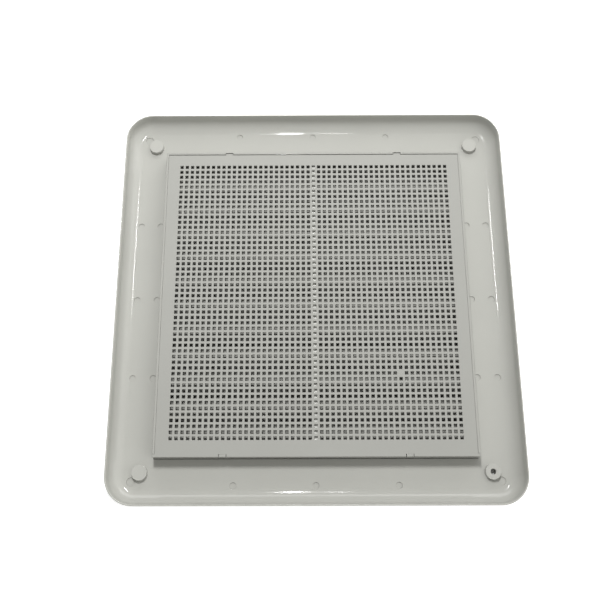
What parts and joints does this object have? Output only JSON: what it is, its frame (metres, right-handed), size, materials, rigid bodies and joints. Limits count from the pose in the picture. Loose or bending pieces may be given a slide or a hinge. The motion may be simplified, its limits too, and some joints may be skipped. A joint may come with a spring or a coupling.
{
  "type": "roof vent cover",
  "caption": "Square roof vent cover: shallow rounded pan, raised louvre frame with linked pivoting blades, and a hinged fine-perforated screen held by snap latches.",
  "frame": {"origin": "under the middle of the cover, on the surface it lies on, cabin face down and screen up", "axes": "+Z from the cabin face up through the screen, +Y towards the screen's hinged edge, +X along the blades, to the right"},
  "size_m": [0.432, 0.432, 0.026],
  "materials": {
    "cover_plastic": "glossy warm light-grey ABS",
    "frame_plastic": "glossy warm light-grey ABS",
    "screen_plastic": "satin warm light-grey ABS",
    "blade_plastic": "satin light-grey ABS",
    "link_plastic": "satin light-grey plastic",
    "rail_plastic": "satin light-grey plastic",
    "knob_plastic": "glossy light-grey ABS"
  },
  "bodies": {
    "cover": {"cover_shell": "cover_plastic", "louvre_frame": "frame_plastic", "left_pivot_rail": "rail_plastic", "right_pivot_rail": "rail_plastic"},
    "blade_01": {"louvre_blade_01": "blade_plastic"},
    "blade_02": {"louvre_blade_02": "blade_plastic"},
    "blade_03": {"louvre_blade_03": "blade_plastic"},
    "blade_04": {"louvre_blade_04": "blade_plastic"},
    "blade_05": {"louvre_blade_05": "blade_plastic"},
    "blade_06": {"louvre_blade_06": "blade_plastic", "finger_knob": "knob_plastic"},
    "blade_07": {"louvre_blade_07": "blade_plastic"},
    "blade_08": {"louvre_blade_08": "blade_plastic"},
    "blade_09": {"louvre_blade_09": "blade_plastic"},
    "blade_10": {"louvre_blade_10": "blade_plastic"},
    "blade_11": {"louvre_blade_11": "blade_plastic"},
    "link": {"link_bar": "link_plastic"},
    "screen": {"screen_panel": "screen_plastic"},
    "left_latch": {"left_latch_tongue": "screen_plastic"},
    "right_latch": {"right_latch_tongue": "screen_plastic"}
  },
  "joints": [
    {"name": "blade_01_pivot", "type": "hinge", "parent": "cover", "child": "blade_01", "pos_m": [0, 0.1322, 0.0119], "axis": [-1, 0, 0], "range_deg": [-24, 15]},
    {"name": "blade_02_pivot", "type": "hinge", "parent": "cover", "child": "blade_02", "pos_m": [0, 0.1046, 0.0119], "axis": [-1, 0, 0], "range_deg": [-24, 15]},
    {"name": "blade_03_pivot", "type": "hinge", "parent": "cover", "child": "blade_03", "pos_m": [0, 0.077, 0.0119], "axis": [-1, 0, 0], "range_deg": [-24, 15]},
    {"name": "blade_04_pivot", "type": "hinge", "parent": "cover", "child": "blade_04", "pos_m": [0, 0.0494, 0.0119], "axis": [-1, 0, 0], "range_deg": [-24, 15]},
    {"name": "blade_05_pivot", "type": "hinge", "parent": "cover", "child": "blade_05", "pos_m": [0, 0.0218, 0.0119], "axis": [-1, 0, 0], "range_deg": [-24, 15]},
    {"name": "blade_06_pivot", "type": "hinge", "parent": "cover", "child": "blade_06", "pos_m": [0, -0.0058, 0.0119], "axis": [-1, 0, 0], "range_deg": [-24, 15]},
    {"name": "blade_07_pivot", "type": "hinge", "parent": "cover", "child": "blade_07", "pos_m": [0, -0.0334, 0.0119], "axis": [-1, 0, 0], "range_deg": [-24, 15]},
    {"name": "blade_08_pivot", "type": "hinge", "parent": "cover", "child": "blade_08", "pos_m": [0, -0.061, 0.0119], "axis": [-1, 0, 0], "range_deg": [-24, 15]},
    {"name": "blade_09_pivot", "type": "hinge", "parent": "cover", "child": "blade_09", "pos_m": [0, -0.0886, 0.0119], "axis": [-1, 0, 0], "range_deg": [-24, 15]},
    {"name": "blade_10_pivot", "type": "hinge", "parent": "cover", "child": "blade_10", "pos_m": [0, -0.1162, 0.0119], "axis": [-1, 0, 0], "range_deg": [-24, 15]},
    {"name": "blade_11_pivot", "type": "hinge", "parent": "cover", "child": "blade_11", "pos_m": [0, -0.1438, 0.0119], "axis": [-1, 0, 0], "range_deg": [-24, 15]},
    {"name": "link_pivot", "type": "hinge", "parent": "blade_06", "child": "link", "pos_m": [0, -0.01317, 0.01992], "axis": [-1, 0, 0], "range_deg": [-15, 24]},
    {"name": "screen_hinge", "type": "hinge", "parent": "cover", "child": "screen", "pos_m": [0, 0.1662, 0.025], "axis": [-1, 0, 0], "range_deg": [0, 100]},
    {"name": "left_latch_flex", "type": "hinge", "parent": "screen", "child": "left_latch", "pos_m": [-0.096, -0.166, 0.0249], "axis": [1, 0, 0], "range_deg": [0, 8], "stiffness_Nm_per_rad": 0.05},
    {"name": "right_latch_flex", "type": "hinge", "parent": "screen", "child": "right_latch", "pos_m": [0.096, -0.166, 0.0249], "axis": [1, 0, 0], "range_deg": [0, 8], "stiffness_Nm_per_rad": 0.05}
  ],
  "couplings": [
    {"joint": "blade_01_pivot", "follows": "blade_06_pivot", "ratio": 1},
    {"joint": "blade_02_pivot", "follows": "blade_06_pivot", "ratio": 1},
    {"joint": "blade_03_pivot", "follows": "blade_06_pivot", "ratio": 1},
    {"joint": "blade_04_pivot", "follows": "blade_06_pivot", "ratio": 1},
    {"joint": "blade_05_pivot", "follows": "blade_06_pivot", "ratio": 1},
    {"joint": "blade_07_pivot", "follows": "blade_06_pivot", "ratio": 1},
    {"joint": "blade_08_pivot", "follows": "blade_06_pivot", "ratio": 1},
    {"joint": "blade_09_pivot", "follows": "blade_06_pivot", "ratio": 1},
    {"joint": "blade_10_pivot", "follows": "blade_06_pivot", "ratio": 1},
    {"joint": "blade_11_pivot", "follows": "blade_06_pivot", "ratio": 1},
    {"joint": "link_pivot", "follows": "blade_06_pivot", "ratio": -1}
  ]
}
